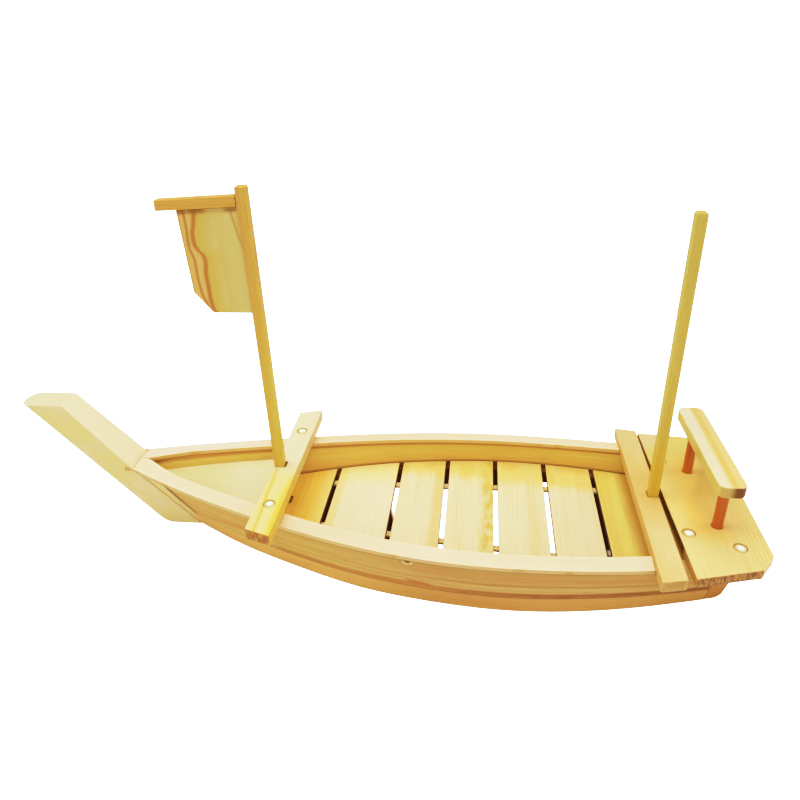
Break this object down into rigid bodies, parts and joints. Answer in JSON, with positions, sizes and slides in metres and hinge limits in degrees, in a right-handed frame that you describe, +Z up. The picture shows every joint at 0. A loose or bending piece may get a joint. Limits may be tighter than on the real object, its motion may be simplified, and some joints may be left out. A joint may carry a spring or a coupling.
{
  "type": "sushi boat",
  "caption": "Wooden serving boat: slatted tray between curved plank sides, raked stem, crossbeams, railed stern deck and lift-out masts, the fore one with a flag-shaped panel.",
  "frame": {"origin": "on the table, under the middle of the bounding box", "axes": "+X from bow to stern, +Y to starboard (the far side in the picture), +Z up"},
  "size_m": [0.595, 0.206, 0.2915],
  "materials": {
    "golden_pine": "clear satin over planed pine, warm golden tone, straight grain",
    "amber_pine": "clear satin over planed pine, amber tone with dark growth lines and a knot",
    "cream_pine": "clear satin over planed pine, pale cream tone",
    "pale_pine": "clear satin over planed pine, pale yellow tone with long grain",
    "plug_wood": "sanded flush plug, pale",
    "dowel_wood": "smooth reddish-brown hardwood dowel",
    "screw_steel": "plain zinc-coated steel"
  },
  "bodies": {
    "hull": {"stem": "golden_pine", "front_bulkhead": "golden_pine", "stern_bulkhead": "golden_pine", "stern_cleat": "golden_pine", "front_mast_step": "golden_pine", "rear_mast_step": "golden_pine", "port_tray_batten": "golden_pine", "starboard_tray_batten": "golden_pine", "port_lower_strake": "amber_pine", "starboard_lower_strake": "amber_pine", "port_upper_strake": "amber_pine", "starboard_upper_strake": "amber_pine", "transom": "amber_pine", "port_gunwale_cap": "cream_pine", "starboard_gunwale_cap": "cream_pine", "front_crossbeam": "cream_pine", "stern_crossbeam": "cream_pine", "stern_deck": "cream_pine", "stern_rail": "cream_pine", "foredeck": "pale_pine", "tray_slat_1": "pale_pine", "tray_slat_2": "pale_pine", "tray_slat_3": "pale_pine", "tray_slat_4": "pale_pine", "tray_slat_5": "pale_pine", "tray_slat_6": "pale_pine", "tray_slat_7": "pale_pine", "port_beam_plug": "plug_wood", "port_deck_fore_plug": "plug_wood", "port_deck_aft_plug": "plug_wood", "starboard_beam_plug": "plug_wood", "starboard_deck_fore_plug": "plug_wood", "starboard_deck_aft_plug": "plug_wood", "port_rail_peg": "dowel_wood", "starboard_rail_peg": "dowel_wood", "port_beam_screw": "screw_steel", "port_deck_fore_screw": "screw_steel", "port_deck_aft_screw": "screw_steel", "starboard_beam_screw": "screw_steel", "starboard_deck_fore_screw": "screw_steel", "starboard_deck_aft_screw": "screw_steel"},
    "sail": {"sail_mast": "golden_pine", "sail_yard": "golden_pine", "sail_panel": "golden_pine"},
    "rear_pole": {"rear_mast": "golden_pine"}
  },
  "joints": [
    {"name": "sail_mast_lift", "type": "slide", "parent": "hull", "child": "sail", "axis": [0, 0, 1], "range_m": [0, 0.056]},
    {"name": "rear_mast_lift", "type": "slide", "parent": "hull", "child": "rear_pole", "axis": [0, 0, 1], "range_m": [0, 0.041]}
  ]
}
